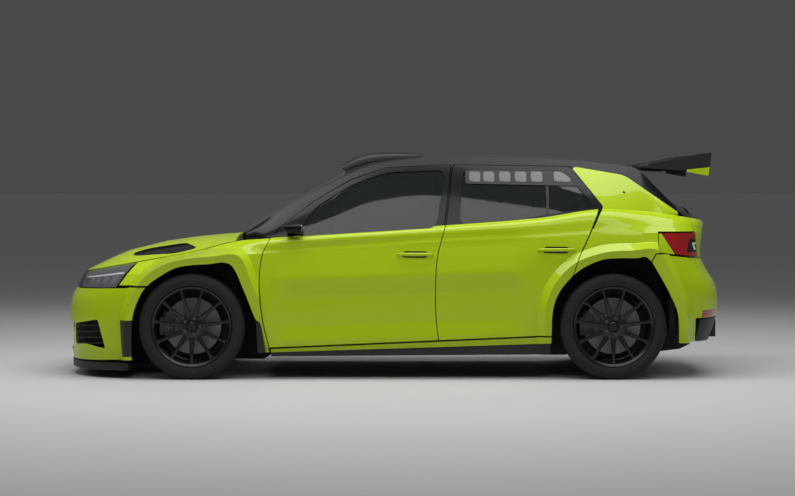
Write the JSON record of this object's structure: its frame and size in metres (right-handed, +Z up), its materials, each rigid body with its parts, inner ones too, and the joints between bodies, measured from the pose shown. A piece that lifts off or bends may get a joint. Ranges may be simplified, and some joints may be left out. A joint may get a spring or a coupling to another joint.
{
  "type": "rally car",
  "caption": "Five-door hatchback rally car with wide arches, roof scoop and rear wing, standing on its wheels, with opening doors, lids and steering",
  "frame": {"origin": "middle of the car's length and width, on the ground under the tyres", "axes": "+X towards the rear of the car, -Y towards its left side, +Z up"},
  "size_m": [4.1032, 1.82, 1.3984],
  "materials": {
    "lime_paint": "gloss",
    "black_gloss": "gloss",
    "black_plastic": "satin",
    "glass": "tinted gloss",
    "tyre": "matte",
    "wheel_black": "satin black",
    "lamp_red": "gloss",
    "lamp_clear": "gloss",
    "steel_dark": "satin",
    "seat_fabric": "matte",
    "cage_white": "satin"
  },
  "bodies": {
    "chassis": {"floor_pan": "steel_dark", "side_frame_left": "lime_paint", "side_frame_right": "lime_paint", "roof_panel": "black_gloss", "roof_scoop": "black_plastic", "windscreen": "glass", "fender_left": "lime_paint", "fender_right": "lime_paint", "front_bumper": "lime_paint", "rear_bumper": "lime_paint", "front_splitter": "black_plastic", "grille": "black_plastic", "headlight_left": "lamp_clear", "headlight_right": "lamp_clear", "rear_diffuser": "black_plastic", "taillight_left": "lamp_red", "taillight_right": "lamp_red", "engine_block": "steel_dark", "front_subframe": "steel_dark", "front_strut_left": "steel_dark", "front_strut_right": "steel_dark", "rear_axle": "steel_dark", "seat_left": "seat_fabric", "seat_right": "seat_fabric", "dashboard": "black_plastic", "roll_cage": "cage_white"},
    "bonnet": {"bonnet": "lime_paint"},
    "tailgate": {"tailgate": "lime_paint", "tailgate_glass": "glass", "rear_wing": "black_plastic"},
    "door_front_left": {"door_front_left": "lime_paint", "glass_front_left": "glass", "mirror_left": "black_gloss"},
    "door_front_right": {"door_front_right": "lime_paint", "glass_front_right": "glass", "mirror_right": "black_gloss"},
    "door_rear_left": {"door_rear_left": "lime_paint", "glass_rear_left": "glass"},
    "door_rear_right": {"door_rear_right": "lime_paint", "glass_rear_right": "glass"},
    "knuckle_left": {"front_knuckle_left": "steel_dark"},
    "knuckle_right": {"front_knuckle_right": "steel_dark"},
    "steering_rack": {"steering_rack": "steel_dark"},
    "steering_wheel": {"steering_wheel": "seat_fabric"},
    "wheel_front_left": {"rim_front_left": "wheel_black", "tyre_front_left": "tyre"},
    "wheel_front_right": {"rim_front_right": "wheel_black", "tyre_front_right": "tyre"},
    "wheel_rear_left": {"rim_rear_left": "wheel_black", "tyre_rear_left": "tyre"},
    "wheel_rear_right": {"rim_rear_right": "wheel_black", "tyre_rear_right": "tyre"}
  },
  "joints": [
    {"name": "bonnet_hinge", "type": "hinge", "parent": "chassis", "child": "bonnet", "pos_m": [-0.9831, 0, 0.828], "axis": [0, 1, 0], "range_deg": [0, 55]},
    {"name": "tailgate_hinge", "type": "hinge", "parent": "chassis", "child": "tailgate", "pos_m": [1.4996, 0, 1.2931], "axis": [0, -1, 0], "range_deg": [0, 75]},
    {"name": "door_front_left_hinge", "type": "hinge", "parent": "chassis", "child": "door_front_left", "pos_m": [-0.7768, -0.86, 0.54], "axis": [0, 0, -1], "range_deg": [0, 62]},
    {"name": "door_front_right_hinge", "type": "hinge", "parent": "chassis", "child": "door_front_right", "pos_m": [-0.7768, 0.86, 0.54], "axis": [0, 0, 1], "range_deg": [0, 62]},
    {"name": "door_rear_left_hinge", "type": "hinge", "parent": "chassis", "child": "door_rear_left", "pos_m": [0.295, -0.865, 0.54], "axis": [0, 0, -1], "range_deg": [0, 62]},
    {"name": "door_rear_right_hinge", "type": "hinge", "parent": "chassis", "child": "door_rear_right", "pos_m": [0.295, 0.865, 0.54], "axis": [0, 0, 1], "range_deg": [0, 62]},
    {"name": "steer_left", "type": "hinge", "parent": "chassis", "child": "knuckle_left", "pos_m": [-1.219, -0.7, 0.3225], "axis": [0, 0, 1], "range_deg": [-28, 28]},
    {"name": "steer_right", "type": "hinge", "parent": "chassis", "child": "knuckle_right", "pos_m": [-1.219, 0.7, 0.3225], "axis": [0, 0, 1], "range_deg": [-28, 28]},
    {"name": "rack_slide", "type": "slide", "parent": "chassis", "child": "steering_rack", "axis": [0, 1, 0], "range_m": [-0.07, 0.07]},
    {"name": "steering_wheel_turn", "type": "hinge", "parent": "chassis", "child": "steering_wheel", "pos_m": [-0.33, -0.36, 0.8], "axis": [0.9207, 0, 0.3903], "range_deg": [-340, 340]},
    {"name": "wheel_front_left_spin", "type": "hinge", "parent": "knuckle_left", "child": "wheel_front_left", "pos_m": [-1.219, -0.774, 0.3225], "axis": [0, 1, 0], "continuous": true},
    {"name": "wheel_rear_left_spin", "type": "hinge", "parent": "chassis", "child": "wheel_rear_left", "pos_m": [1.345, -0.774, 0.3225], "axis": [0, 1, 0], "continuous": true},
    {"name": "wheel_front_right_spin", "type": "hinge", "parent": "knuckle_right", "child": "wheel_front_right", "pos_m": [-1.219, 0.774, 0.3225], "axis": [0, 1, 0], "continuous": true},
    {"name": "wheel_rear_right_spin", "type": "hinge", "parent": "chassis", "child": "wheel_rear_right", "pos_m": [1.345, 0.774, 0.3225], "axis": [0, 1, 0], "continuous": true}
  ],
  "couplings": [
    {"joint": "steer_right", "follows": "steer_left", "ratio": 1},
    {"joint": "rack_slide", "follows": "steer_left", "m_per_rad": 0.12},
    {"joint": "steering_wheel_turn", "follows": "steer_left", "ratio": 12}
  ]
}
